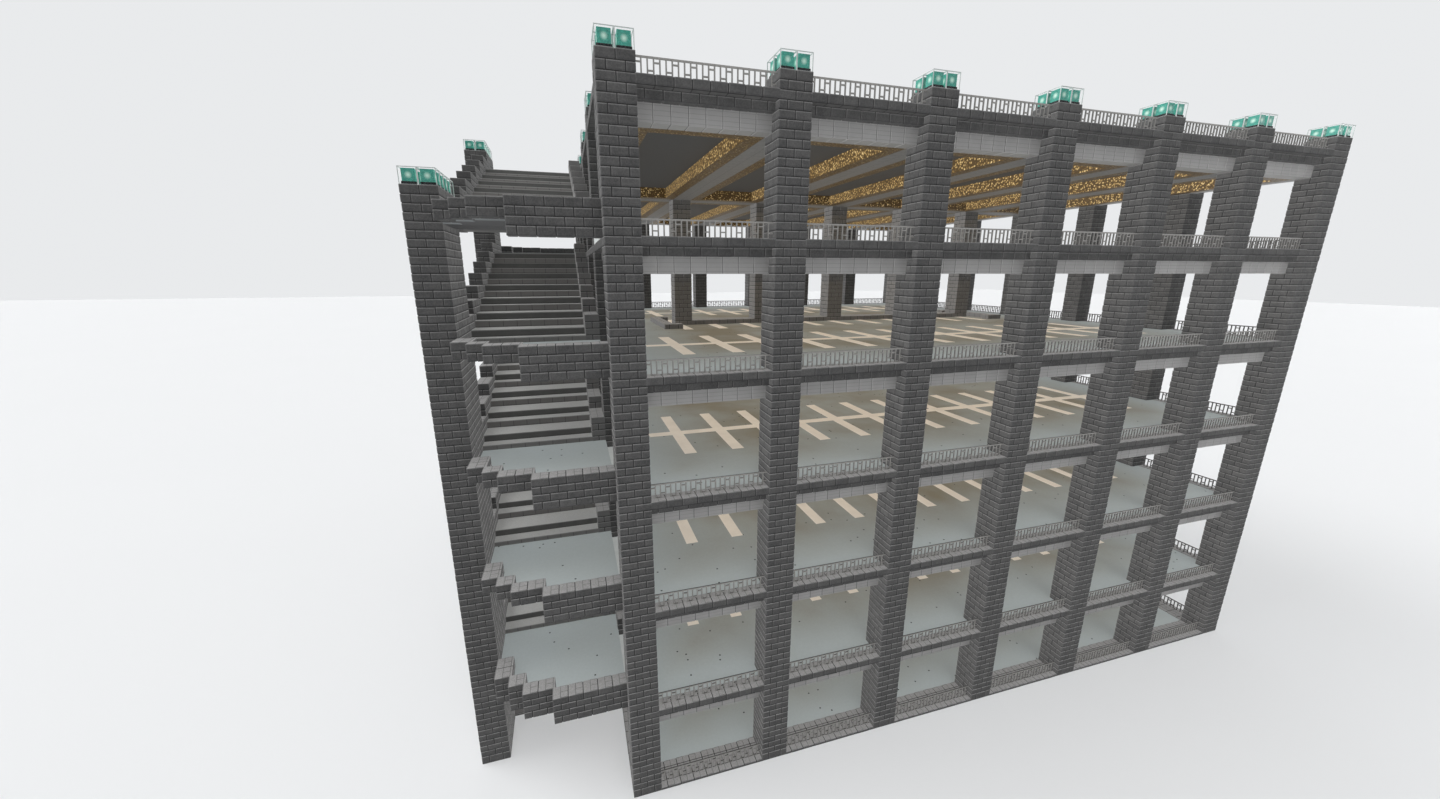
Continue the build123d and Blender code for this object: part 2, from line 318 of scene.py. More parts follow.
# Blocks laid in courses: every point is one block, drawn in at its joints and proud where it shows
def blockTree(sizes):
    points = startTree("laidBlocks", sizes)
    chamfer, seed = points.other("Chamfer"), points.other("Seed")
    uneven = randomValue(points, points.other("Least proud"), 1.0, seed + secondDraw)
    halfJoint = points.other("Joint width") * 0.5
    drawnIn = points.join(halfJoint, halfJoint, halfJoint)
    reach = halfJoint + points.other("Stand proud") * uneven

    def grownAt(key):  # how far the block goes past its cells on these three sides
        shown = points.node("ShaderNodeVectorMath", {"operation": "SCALE"},
                            {0: recall(points, key), "Scale": reach})
        return points.vector("SUBTRACT", shown, drawnIn)

    low, high = grownAt("openLow"), grownAt("openHigh")
    size = points.vector("ADD", points.vector("ADD", recall(points, "blockSize"), low), high)
    shift = points.vector("MULTIPLY", points.vector("SUBTRACT", high, low), (0.5,) * 3)
    moved = points.node("GeometryNodeSetPosition", None, {"Geometry": points, "Offset": shift})
    moved = remember(moved, "stoneCentre", moved.node("GeometryNodeInputPosition"))
    moved = remember(moved, "stoneSize", size)
    moved = remember(moved, "tone", randomValue(moved, 0.0, 1.0, seed), "FLOAT")

    def hull(bars):
        joined = points.node("GeometryNodeJoinGeometry", None, {0: bars})
        return points.node("GeometryNodeConvexHull", None, {0: joined})

    # unit blocks with their edges worn off: first on all sides, then on the shown sides only,
    # which takes fewer faces
    flat = 1 - chamfer * 2
    bars = [placedBox(points, [1.0 if n == axis else flat for n in range(3)]) for axis in range(3)]
    shapes = [hull(bars)]
    for sides in shownSides:
        extent, place = [1.0] * 3, [0.0] * 3
        for axis, sign in sides:
            extent[axis], place[axis] = 1 - chamfer, chamfer * (-0.5 * sign)
        shapes.append(hull([placedBox(points, extent, place)] + [bars[axis] for axis, _ in sides]))
    laid = []
    for number, shape in enumerate(shapes):
        chosen = moved.math("COMPARE", recall(moved, "shape", "FLOAT"), float(number), 0.5)
        laid.append(moved.node("GeometryNodeInstanceOnPoints", None,
                               {"Points": moved, "Selection": chosen, "Instance": shape,
                                "Scale": recall(moved, "stoneSize")}))
    joined = moved.node("GeometryNodeJoinGeometry", None, {0: laid})
    return endTree(joined, points.other("Material"))


def solidOf(node):  # a CAD node that can be asked about points and rays
    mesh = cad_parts[node].data
    corners = [v.co.copy() for v in mesh.vertices]
    return BVHTree.FromPolygons(corners, [tuple(p.vertices) for p in mesh.polygons])


def holds(solid, point):
    spot, normal, _, _ = solid.find_nearest(point)
    return (spot - point).dot(normal) > 0


def faceGap(solid, others, centre, half, axis, sign, reach):
    # how far the solid's real face lies beyond the lattice, where nothing else covers the stretch
    outward = Vector([sign if n == axis else 0 for n in range(3)])
    spot = solid.ray_cast(centre + outward * (half + reach), -outward, 2 * reach)[0]
    if not spot:
        return 0.0
    gap = (spot - centre).dot(outward) - half
    if gap > 0 and any(holds(other, centre + outward * (half + gap / 2)) for other in others):
        return 0.0
    return gap


def filledCells(node, solid, layout, keep):  # the lattice's cells whose middles lie in a CAD node
    low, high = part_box(node)
    steps = Vector((layout["cell"], layout["cell"], layout["course"]))
    slack = 0.01  # share of a cell that rounding may add
    first = [math.floor((low[n] - firstStone[n]) / steps[n] + slack) for n in range(3)]
    last = [math.ceil((high[n] - firstStone[n]) / steps[n] - slack) for n in range(3)]
    first[2], last[2] = max(first[2], 0), max(last[2], 1)
    filled = set()
    for cell in itertools.product(*(range(a, b) for a, b in zip(first, last))):
        centre = Vector([firstStone[n] + (c + 0.5) * steps[n] for n, c in enumerate(cell)])
        if high.z < groundTop + layout["course"]:  # a strip on the ground, lower than a course
            centre.z = groundTop / 2
        if (not keep or keep(centre)) and holds(solid, centre):
            filled.add(cell)
    return filled


def gatherCells(filled, layout):  # the first and the last cell of each block
    group = layout["group"]
    groups = {}
    for i, j, k in filled:
        shift = 0 if k % 2 or not layout["bonded"] else group // 2
        groups.setdefault(((i + shift) // group, (j + shift) // group, k), []).append((i, j))
    for (_, _, k), cells in sorted(groups.items()):
        while cells:
            iLow, jLow = min(cells)
            iHigh, jHigh = iLow, jLow
            while (iLow, jHigh + 1) in cells:
                jHigh += 1
            while all((iHigh + 1, j) in cells for j in range(jLow, jHigh + 1)):
                iHigh += 1
            cells = [(i, j) for i, j in cells if not (i <= iHigh and jLow <= j <= jHigh)]
            yield (iLow, jLow, k), (iHigh, jHigh, k)


def layerBeyond(low, high, axis, sign):  # the cells just beyond one side of a block
    spans = [range(a, b + 1) for a, b in zip(low, high)]
    spans[axis] = [low[axis] - 1 if sign < 0 else high[axis] + 1]
    return list(itertools.product(*spans))


def layBlocks(name, node, tree, layout, material, keep=None, others=()):
    # the CAD node is read on a lattice of cells, which are gathered into the blocks of each course
    cell, course = layout["cell"], layout["course"]
    faceReach = cell * 0.45  # the real face lies no further than this from the lattice
    solid, top = solidOf(node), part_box(node)[1].z
    filled = filledCells(node, solid, layout, keep)
    centres, sizes, openLow, openHigh, shapes = [], [], [], [], []
    for low, high in gatherCells(filled, layout):
        beyond = {(axis, sign): layerBeyond(low, high, axis, sign)
                  for axis in range(3) for sign in (-1, 1)}
        if low[2] == 0:  # nothing shows under the lowest course
            del beyond[2, -1]
        if all(c in filled for layer in beyond.values() for c in layer):
            continue
        shown = tuple(side for side, layer in beyond.items() if not filled.intersection(layer))
        bottom = firstStone.z + low[2] * course if low[2] > 0 else 0.0
        corners = [Vector((firstStone.x + low[0] * cell, firstStone.y + low[1] * cell, bottom)),
                   Vector((firstStone.x + (high[0] + 1) * cell,
                           firstStone.y + (high[1] + 1) * cell,
                           min(firstStone.z + (low[2] + 1) * course, top)))]
        centre, span = (corners[0] + corners[1]) / 2, corners[1] - corners[0]
        for axis, sign in shown:
            if axis < 2:
                gap = faceGap(solid, others, centre, span[axis] / 2, axis, sign, faceReach)
                corners[sign > 0][axis] += sign * gap
        centres.append(tuple((corners[0] + corners[1]) / 2))
        sizes.append(tuple(corners[1] - corners[0]))
        openLow.append([float((axis, -1) in shown) for axis in range(3)])
        openHigh.append([float((axis, 1) in shown) for axis in range(3)])
        shapes.append(shownSides.index(shown) + 1.0 if shown in shownSides else 0.0)
    attributes = {"blockSize": sizes, "openLow": openLow, "openHigh": openHigh, "shape": shapes}
    growPiece(name, tree, centres, attributes, blockSizes(layout), material, node)


# Masonry of split stone blocks, half a metre long in courses of a quarter of a metre
masonry = {
    "cell": block / 2, "course": block / 2, "group": 2, "bonded": True, "seed": 3,
    "joint": 0.030, "proud": 0.018,
    "leastProud": 0.65, "chamfer": 0.024,  # as shares of the relief and of the block
    "body": paint(75, 75, 75), "pale": paint(106, 105, 104), "dark": paint(50, 50, 51),
    "paintedLight": paint(170, 169, 168), "mortar": paint(42, 42, 44),
    "mortarPale": paint(58, 57, 56),
    # how strongly each part of a stone takes on its colour: painted highlight on the upper and side
    # rims and on the tops, painted shade on the low rim
    "bodyShare": 0.45, "topHighlightShare": 0.42, "sideHighlightShare": 0.22, "lowShadeShare": 0.5,
    "topShare": 0.8, "topPitShare": 0.25, "cutShare": 0.55, "paintedLightShare": 0.24,
    "rim": 0.036, "lowRim": 0.0468, "rimWander": 0.03, "cut": 0.018,
    "cloudScale": 3.1, "wanderScale": 14.0, "fineScale": 24.0, "mortarScale": 30.0,
    "rough": (0.9, 0.8), "relief": 0.006, "gloss": 0.25,
    "mortarRough": (0.95, 0.9), "mortarRelief": 0.003, "mortarGloss": 0.2,
}


def stoneRecipe(place):
    ox, oy, oz = place.vector("SUBTRACT", place, attributeOf(place, "stoneCentre")).split()
    sx, sy, sz = attributeOf(place, "stoneSize").split()
    nx, ny, nz = facing(place)
    sideFace, topFace = abs(nx) > facingLimit, nz > facingLimit
    upright = 1 - (abs(nz) > facingLimit)
    toSide = (sx * 0.5 - ox * ny) * (1 - sideFace) + (sy * 0.5 + oy * nx) * sideFace
    broken = (noise(place, masonry["wanderScale"], 4.0) - 0.5) * masonry["rimWander"]

    def rimAt(distance, width):  # 1 at the edge of a face, down to 0 at the rim's width
        return (1 - (distance + broken) / width).clamp() * upright

    # painted highlight along the upper edge and one side edge of each upright face, painted shade
    # along its lower edge
    topHighlight, sideHighlight = rimAt(sz * 0.5 - oz, masonry["rim"]), rimAt(toSide, masonry["rim"])
    lowRim = rimAt(sz * 0.5 + oz, masonry["lowRim"])
    pale = topHighlight * masonry["topHighlightShare"] + sideHighlight * masonry["sideHighlightShare"]
    tone = attributeOf(place, "tone", "Fac")
    cloud = noise(place, masonry["cloudScale"], 5.0)
    pits = grain(place)
    level = (cloud * 0.9 + pits * 0.35 + tone * 0.3 - 0.28).clamp()
    colour = mixColours(place, level, masonry["dark"], masonry["pale"])
    colour = mixColours(place, masonry["bodyShare"], colour, masonry["body"])
    colour = mixColours(place, pale.clamp(), colour, masonry["paintedLight"])
    colour = mixColours(place, lowRim * masonry["lowShadeShare"], colour, masonry["mortar"])
    # painted light: the tops of the stones are made paler
    colour = mixColours(place, topFace * masonry["topShare"], colour, masonry["paintedLight"])
    colour = mixColours(place, topFace * (pits * masonry["topPitShare"]), colour, masonry["dark"])
    x, y, _ = place.split()  # the tops are cut into half stones, and every other half once more
    cutX = jointMask(x, block / 2, wallLow.x, masonry["cut"])
    cutY = jointMask(y, block / 2, wallLow.y, masonry["cut"])
    cut = (cutX | cutY * ((x - wallLow.x) % block > block / 2)) * topFace
    colour = mixColours(place, cut * masonry["cutShare"], colour, masonry["mortar"])
    fine = noise(place, masonry["fineScale"], 4.0)
    height = cloud * 0.5 + pits * 0.2 + fine * 0.5 - cut
    return colour, between(pits, masonry["rough"]), height, {}


def innerStoneRecipe(place):  # painted light: the middle columns, deck kerbs and inner ramp walls are made paler, standing in for light that does not reach them under the decks
    colour, roughness, height, more = stoneRecipe(place)
    colour = mixColours(place, masonry["paintedLightShare"], colour, masonry["paintedLight"])
    return colour, roughness, height, more


def mortarRecipe(place):  # the undersides show the stones that overhang
    x, y, _ = place.split()
    speck = noise(place, masonry["mortarScale"], 4.0)
    colour = mixColours(place, speck, masonry["mortar"], masonry["mortarPale"])
    seam = (jointMask(x, block, wallLow.x, masonry["joint"])
            | jointMask(y, block, wallLow.y, masonry["joint"]))
    cloud = noise(place, masonry["cloudScale"], 5.0)
    stone = mixColours(place, cloud, masonry["dark"], masonry["pale"])
    colour = mixColours(place, (facing(place)[2] < -facingLimit) * (1 - seam), colour, stone)
    return colour, between(speck, masonry["mortarRough"]), speck, {}


stoneFinish = {"relief": masonry["relief"], "sockets": {"Specular IOR Level": masonry["gloss"]}}
stoneMaterial = makeMaterial("splitStone", stoneRecipe, **stoneFinish)
innerStoneMaterial = makeMaterial("innerStone", innerStoneRecipe, **stoneFinish)
mortarMaterial = makeMaterial("mortar", mortarRecipe, masonry["mortarRelief"],
                              {"Specular IOR Level": masonry["mortarGloss"]})

layingTree = blockTree(blockSizes(masonry))
stoneNodes = ["front_columns", "right_columns", "rear_columns", "left_columns", "middle_columns",
              "tower_front_column", "tower_rear_column", "front_edge_beams", "right_edge_beams",
              "rear_edge_beams", "left_edge_beams", "ground_strips", "deck_kerbs",
              "inner_ramp_walls", "outer_ramp_walls", "front_landing_walls",
              "rear_landing_walls", "threshold_low_wall"]
paintedLightNodes = ("middle_columns", "deck_kerbs", "inner_ramp_walls")
stoneSolids = {node: solidOf(node) for node in stoneNodes}
for index, node in enumerate(stoneNodes):
    words = node.split("_")
    name = words[0] + "".join(w.capitalize() for w in words[1:]) + "Stones"
    layBlocks(name, node, layingTree, {**masonry, "seed": masonry["seed"] + index},
              innerStoneMaterial if node in paintedLightNodes else stoneMaterial,
              others=[solid for other, solid in stoneSolids.items() if other != node])
print("masonry laid")


# Smooth light blocks under the edge beams
fascia = {
    "cell": block, "course": block, "group": 1, "bonded": False, "seed": 40,
    "joint": 0.024, "proud": 0.014, "leastProud": 0.65, "chamfer": 0.012,
    "body": paint(138, 137, 136), "pale": paint(157, 156, 155), "seam": paint(88, 88, 89),
    "seamDark": paint(70, 70, 71), "bands": 4, "bandWidth": 0.014, "bandWander": 0.01,
    "bandShare": 0.35, "cloudScale": 2.2, "wanderScale": 5.0, "seamScale": 18.0,
    "rough": (0.55, 0.7), "relief": 0.003,
}


def fasciaRecipe(place):
    height = place.vector("SUBTRACT", place, attributeOf(place, "stoneCentre")).split()[2]
    upright = 1 - (abs(facing(place)[2]) > facingLimit)
    pitch = block / fascia["bands"]
    wander = (noise(place, fascia["wanderScale"], 3.0) - 0.5) * fascia["bandWander"]
    band = jointMask(height + wander, pitch, pitch / 2, fascia["bandWidth"]) * upright
    tone = attributeOf(place, "tone", "Fac")
    cloud = noise(place, fascia["cloudScale"], 4.0)
    level = (cloud * 0.7 + tone * 0.4 - 0.1).clamp()
    colour = mixColours(place, level, fascia["body"], fascia["pale"])
    colour = mixColours(place, band * fascia["bandShare"], colour, fascia["seam"])
    return colour, between(cloud, fascia["rough"]), cloud - band * 0.6, {}


def lowerHalf(centre):  # the upper half of each beam lies behind the edge beam and the deck
    return any(top - 2 * block < centre.z < top - block for top in deckTops)


fasciaMaterial = makeMaterial("smoothBlocks", fasciaRecipe, fascia["relief"])
layBlocks("fasciaBlocks", "perimeter_beams", layingTree, fascia, fasciaMaterial, keep=lowerHalf)
print("fascia laid")


# Railings: uprights with short cross pieces that step up and down
railing = {
    "height": 0.455, "gaps": 3, "barWidth": 0.036, "barDepth": 0.042, "crossHeight": 0.036,
    "highCross": 0.36, "lowCross": 0.17,
    "body": paint(124, 123, 120), "pale": paint(158, 156, 153), "tip": paint(42, 41, 40),
    "cloudScale": 6.0, "rough": (0.6, 0.8), "relief": 0.002,
    # how dark the tops, the narrow sides and the inner sides of the bars are; the dark inner sides
    # are painted shade
    "topShare": 0.85, "narrowShare": 0.8, "innerShadeShare": 0.9,
}


def railingBars(box, height, gap, width, depth, cross, highCross, lowCross):
    for number in range(railing["gaps"]):
        box((width, depth, height), (gap * number, 0.0, height * 0.5))
    for number, level in enumerate((highCross, cross * 0.5, lowCross)):
        box((gap - width, depth, cross), (gap * (number + 0.5), 0.0, level))


def railingRecipe(place):
    x, y, _ = place.split()
    nx, ny, nz = facing(place)
    speck = grain(place)
    cloud = noise(place, railing["cloudScale"], 3.0)
    level = (cloud * 0.8 + speck * 0.3).clamp()
    colour = mixColours(place, level, railing["body"], railing["pale"])
    alongX = abs(y) > -wallLow.y - block  # the railings of the front and the rear
    alongY = 1 - alongX
    narrow = abs(nx) * alongX + abs(ny) * alongY
    # painted shade: the sides of the bars that face into the building are darkened
    inner = (ny * y < -1) * alongX + (nx * (x - (wallLow.x + wallHigh.x) / 2) < -1) * alongY
    dark = ((nz > facingLimit) * railing["topShare"] + narrow * railing["narrowShare"]
            + inner * railing["innerShadeShare"])
    colour = mixColours(place, dark.clamp(), colour, railing["tip"])
    return colour, between(speck, railing["rough"]), cloud, {}


railingMaterial = makeMaterial("castRailing", railingRecipe, railing["relief"])
patternTree = boxTree("railingPattern", {
    "Height": railing["height"], "Gap": block / railing["gaps"],
    "Bar width": railing["barWidth"], "Bar depth": railing["barDepth"],
    "Cross height": railing["crossHeight"], "High cross": railing["highCross"],
    "Low cross": railing["lowCross"]}, railingBars, turned=True)
for side in ("front", "right", "rear", "left"):
    node = f"{side}_railings"
    spots, turns = [], []
    for low, high in solidBoxes(node):
        span = high - low
        axis = 0 if span[0] > span[1] else 1
        foot = min(floorLevels + deckTops, key=lambda level: abs(level + block - high[2]))
        middle = (low + high) / 2
        for n in range(round(span[axis] / block)):
            spot = [middle[0], middle[1], foot]
            spot[axis] = low[axis] + railing["barWidth"] / 2 + n * block
            spots.append(spot)
            turns.append(math.pi / 2 * axis)
    growPiece(f"{side}RailingBars", patternTree, spots, {"turn": turns}, {}, railingMaterial, node)
print("railings made")


# Lanterns: one clear box with a lamp block in it for every half metre of each column top
lantern = {
    "bar": 0.020, "lampSide": 0.355, "lampHeight": 0.36, "baseSide": 0.40, "baseHeight": 0.10,
    "frame": paint(196, 200, 198), "frameShade": paint(150, 160, 158),
    "frameScale": 9.0, "frameRough": (0.35, 0.55), "frameRelief": 0.001,
    "glass": paint(214, 232, 228), "glassPale": paint(232, 240, 240),
    "glassScale": 3.0, "glassRough": (0.06, 0.12), "alpha": 0.02, "ior": 1.3,
    "lamp": paint(18, 112, 98), "lampSpeck": paint(60, 170, 150), "heart": paint(176, 206, 192),
    "heartReach": 0.085, "lampRough": (0.3, 0.4), "lampGlow": 0.15, "lampRelief": 0.002,
    "base": paint(3, 3, 4), "baseShade": paint(14, 10, 18),
    "baseScale": 20.0, "baseRough": (0.4, 0.6), "baseGloss": 0.08,
}


def cellSpots():  # the middle of every lantern's foot
    spots = set()
    for low, high in solidBoxes("lantern_glass"):
        if high[0] - low[0] >= block:
            counts = [round((high[n] - low[n]) / block) for n in range(2)]
            for i, j in itertools.product(range(counts[0]), range(counts[1])):
                spot = (low[0] + (i + 0.5) * block, low[1] + (j + 0.5) * block, low[2])
                spots.add(tuple(round(c, 4) for c in spot))
    return sorted(spots)


def frameBars(box, cell, bar):
    half = (cell - bar) * 0.5
    for a, b in itertools.product((-1, 1), (-1, 1)):
        box((bar, bar, cell), (half * a, half * b, cell * 0.5))
        box((cell - bar * 2, bar, bar), (0.0, half * a, cell * 0.5 + half * b))
        box((bar, cell - bar * 2, bar), (half * a, 0.0, cell * 0.5 + half * b))


def lampBlock(box, side, height, base):
    box((side, side, height), (0.0, 0.0, base + height * 0.5))


def frameRecipe(place):
    speck = grain(place)
    cloud = noise(place, lantern["frameScale"], 3.0)
    level = cloud * 0.6 + speck * 0.3
    colour = mixColours(place, level, lantern["frame"], lantern["frameShade"])
    return colour, between(speck, lantern["frameRough"]), cloud, {}


def lampRecipe(place):  # a bright heart in the middle of each block's faces
    x, y, z = place.split()
    nx, ny, nz = facing(place)
    middle = lantern["baseHeight"] + lantern["lampHeight"] / 2
    u = ((x - wallLow.x) % block - block / 2) * (1 - abs(nx))
    v = ((y - wallLow.y) % block - block / 2) * (1 - abs(ny))
    w = ((z - wallHigh.z) % block - middle) * (1 - abs(nz))
    heart = (1.25 - place.math("SQRT", u * u + v * v + w * w) / lantern["heartReach"]).clamp()
    cells = grain(place)
    colour = mixColours(place, cells * 0.4, lantern["lamp"], lantern["lampSpeck"])
    colour = mixColours(place, heart * 0.9, colour, lantern["heart"])
    return colour, between(cells, lantern["lampRough"]), cells, {"Emission Color": colour}


def baseRecipe(place):
    speck = noise(place, lantern["baseScale"], 3.0)
    colour = mixColours(place, speck, lantern["base"], lantern["baseShade"])
    return colour, between(speck, lantern["baseRough"]), speck, {}


def glassRecipe(place):
    cloud = noise(place, lantern["glassScale"], 2.0)
    colour = mixColours(place, cloud, lantern["glass"], lantern["glassPale"])
    return colour, between(cloud, lantern["glassRough"]), None, {}


frameMaterial = makeMaterial("lanternFrame", frameRecipe, lantern["frameRelief"])
lampMaterial = makeMaterial("lanternLamp", lampRecipe, lantern["lampRelief"],
                            {"Emission Strength": lantern["lampGlow"]})
baseMaterial = makeMaterial("lanternBase", baseRecipe, lantern["lampRelief"],
                            {"Specular IOR Level": lantern["baseGloss"]})
glassMaterial = makeMaterial("lanternGlass", glassRecipe,
                             sockets={"Alpha": lantern["alpha"], "IOR": lantern["ior"]})
barTree = boxTree("lanternFrame", {"Cell": block, "Bar": lantern["bar"]}, frameBars)
lampTree = boxTree("lanternLamps", {"Side": lantern["lampSide"], "Height": lantern["lampHeight"],
                                    "Base": lantern["baseHeight"]}, lampBlock)
spots = cellSpots()
growPiece("lanternFrames", barTree, spots, {}, {}, frameMaterial, "lantern_glass")
growPiece("lanternCores", lampTree, spots, {}, {}, lampMaterial, "lantern_lamps",
          ["lantern_lamps"])
growPiece("lanternFeet", lampTree, spots, {},
          {"Side": lantern["baseSide"], "Height": lantern["baseHeight"], "Base": 0.0},
          baseMaterial, "lantern_bases", ["lantern_bases"])
print("lanterns made")


# Painted lines on every floor: strips between the bays and one line across each outer group
lines = {
    "width": block, "pitch": 4 * block, "thickness": 0.006,
    "outerCount": 13, "firstOuter": wallLow.x + 6 * block,
    "outerStart": 6.0, "outerLength": 11 * block,
    "innerCount": 11, "firstInner": wallLow.x + 10 * block,
    "innerStart": 0.5, "innerLength": 5 * block,
    "crossStart": wallLow.x + 4 * block, "crossEnd": wallLow.x + 57 * block, "crossAt": 8.5,
    "body": paint(250, 240, 226), "worn": paint(228, 218, 204), "patch": paint(190, 188, 176),
    "cloudScale": 1.3, "patchScale": 9.0, "patchFrom": 0.68, "patchShare": 0.2,
    "rough": (0.6, 0.75), "relief": 0.001,
}


def lineBoxes():  # the place and the sizes of every strip
    boxes = []
    width, pitch = lines["width"], lines["pitch"]
    outer, inner = lines["outerStart"], lines["innerStart"]
    arm = (lines["outerLength"] - width) / 2  # the cross line takes the middle
    crossLength = lines["crossEnd"] - lines["crossStart"]
    crossMiddle = (lines["crossStart"] + lines["crossEnd"]) / 2
    for level, side in itertools.product(floorLevels, (1, -1)):
        for n in range(lines["outerCount"]):
            x = lines["firstOuter"] + n * pitch + width / 2
            for y in (outer + arm / 2, outer + lines["outerLength"] - arm / 2):
                boxes.append(((x, side * y, level), (width, arm)))
        for n in range(lines["innerCount"]):
            x = lines["firstInner"] + n * pitch + width / 2
            y = inner + lines["innerLength"] / 2
            boxes.append(((x, side * y, level), (width, lines["innerLength"])))
        boxes.append(((crossMiddle, side * (lines["crossAt"] + width / 2), level),
                      (crossLength, width)))
    return boxes


def lineTree():
    points = startTree("paintedLines", {"Thickness": lines["thickness"]})
    thick = points.other("Thickness")
    x, y, _ = recall(points, "lineSize").split()
    moved = points.node("GeometryNodeSetPosition", None,
                        {"Geometry": points, "Offset": points.join(0.0, 0.0, thick * 0.5)})
    cube = moved.node("GeometryNodeMeshCube")
    laid = moved.node("GeometryNodeInstanceOnPoints", None,
                      {"Points": moved, "Instance": cube, "Scale": points.join(x, y, thick)})
    return endTree(laid, points.other("Material"))


def lineRecipe(place):
    cloud = noise(place, lines["cloudScale"], 4.0)
    worn = noise(place, lines["patchScale"], 5.0)
    patches = (worn > lines["patchFrom"]) * lines["patchShare"]
    colour = mixColours(place, (cloud * 1.2 - 0.2).clamp(), lines["body"], lines["worn"])
    colour = mixColours(place, patches, colour, lines["patch"])
    return colour, between(grain(place), lines["rough"]), worn, {}


lineMaterial = makeMaterial("linePaint", lineRecipe, lines["relief"])
strips = lineBoxes()
lineSizes = [(*size, lines["thickness"]) for _, size in strips]
growPiece("parkingLines", lineTree(), [spot for spot, _ in strips], {"lineSize": lineSizes}, {},
          lineMaterial, "deck_1")
print("lines painted")


# Finishes of the decks, with their painted shade and specks, and of the smooth beams under them
deck = {
    "floor": paint(175, 184, 186), "floorWarm": paint(172, 178, 176), "speck": paint(26, 26, 25),
    "stain": paint(122, 105, 68), "deepShadeStart": 1.3, "deepShadeReach": 3.5, "deepShadeShare": 0.72,
    "deepShadePatches": (0.3, 1.0), "edge": paint(120, 121, 122), "edgeShare": 0.7,
    "ceiling": paint(80, 80, 81), "ceilingDark": paint(64, 64, 65), "ceilingShare": 0.25,
    "speckCell": 0.062, "speckShift": 0.013, "speckFrom": 0.9984, "fineShare": 0.12,
    "cloudScale": 0.35, "fineScale": 11.0, "patchScale": 0.24,
    "rough": (0.75, 0.9), "relief": 0.0015,
}
beam = {
    "body": paint(134, 133, 132), "dark": paint(116, 116, 117), "seam": paint(92, 92, 93),
    "seamWidth": 0.020, "seamShare": 0.6, "wobbleScale": 3.0, "streakScale": (9.0, 9.0, 1.5),
    "rough": (0.6, 0.8), "relief": 0.003,
}


def floorRecipe(place):
    x, y, z = place.split()
    nz = facing(place)[2]
    cloud = noise(place, deck["cloudScale"], 4.0)
    fine = noise(place, deck["fineScale"], 4.0)
    colour = mixColours(place, cloud, deck["floor"], deck["floorWarm"])
    # painted shade: the decks are darker and browner towards the middle of each storey, where less
    # light reaches, but not the roof
    fromX = (wallHigh.x - wallLow.x) / 2 - abs(x - (wallLow.x + wallHigh.x) / 2)
    fromY = -wallLow.y - abs(y)
    inwards = place.math("MINIMUM", fromX, fromY)
    deep = ((inwards - deck["deepShadeStart"]) / deck["deepShadeReach"]).clamp()
    patches = (noise(place, deck["patchScale"], 3.0) * 3.0 - 1.0).clamp()
    deep = deep * (z < wallHigh.z - 2 * block) * between(patches, deck["deepShadePatches"])
    colour = mixColours(place, deep * deck["deepShadeShare"], colour, deck["stain"])
    colour = mixColours(place, fine * deck["fineShare"], colour, deck["speck"])
    holes = grain(place, deck["speckCell"], deck["speckShift"]) > deck["speckFrom"]
    colour = mixColours(place, holes, colour, deck["speck"])
    dim = fine * deck["ceilingShare"]
    under = mixColours(place, dim, deck["ceiling"], deck["ceilingDark"])
    colour = mixColours(place, nz < -facingLimit, colour, under)
    colour = mixColours(place, (abs(nz) < facingLimit) * deck["edgeShare"], colour, deck["edge"])
    return colour, between(fine, deck["rough"]), fine - holes * 0.5, {}


def jointRecipe(place):  # what shows between the smooth blocks, and the floor above them
    speck = noise(place, fascia["seamScale"], 4.0)
    colour = mixColours(place, speck, fascia["seam"], fascia["seamDark"])
    floor, roughness, height, more = floorRecipe(place)
    return mixColours(place, facing(place)[2] > facingLimit, colour, floor), roughness, height, more


def beamRecipe(place):
    wobble = noise(place, beam["wobbleScale"], 3.0)
    stretched = [part * scale for part, scale in zip(place.split(), beam["streakScale"])]
    streak = noise(place.join(*stretched), 1.0, 3.0)
    seam = panelSeams(place, beam["seamWidth"])
    level = (streak * 0.8 + wobble * 0.3 - 0.1).clamp()
    colour = mixColours(place, level, beam["body"], beam["dark"])
    colour = mixColours(place, seam * beam["seamShare"], colour, beam["seam"])
    return colour, between(streak, beam["rough"]), streak - seam * 0.8, {}


# Finishes of the ramps' steps, low and high in turn, and of the slabs at the entries
step = {
    "height": block / 2, "tread": paint(172, 172, 170), "treadDark": paint(110, 110, 108),
    "riser": paint(79, 79, 78), "riserPale": paint(100, 100, 98),
    "lowRiser": paint(126, 124, 122), "seam": paint(50, 50, 50),
    "seamWidth": 0.022, "riserHighlight": 0.030, "riserFootShade": 0.035, "edgeShare": 0.5,
    "litTreadShare": 0.9, "pitShare": 0.2, "lowShare": 0.75, "seamShare": 0.6,
    "cloudScale": 2.6, "rough": (0.8, 0.9), "relief": 0.004,
    "slab": paint(206, 210, 208), "slabDark": paint(184, 188, 187),
    "slabScale": 4.0, "slabRough": (0.7, 0.8), "slabRelief": 0.002,
}


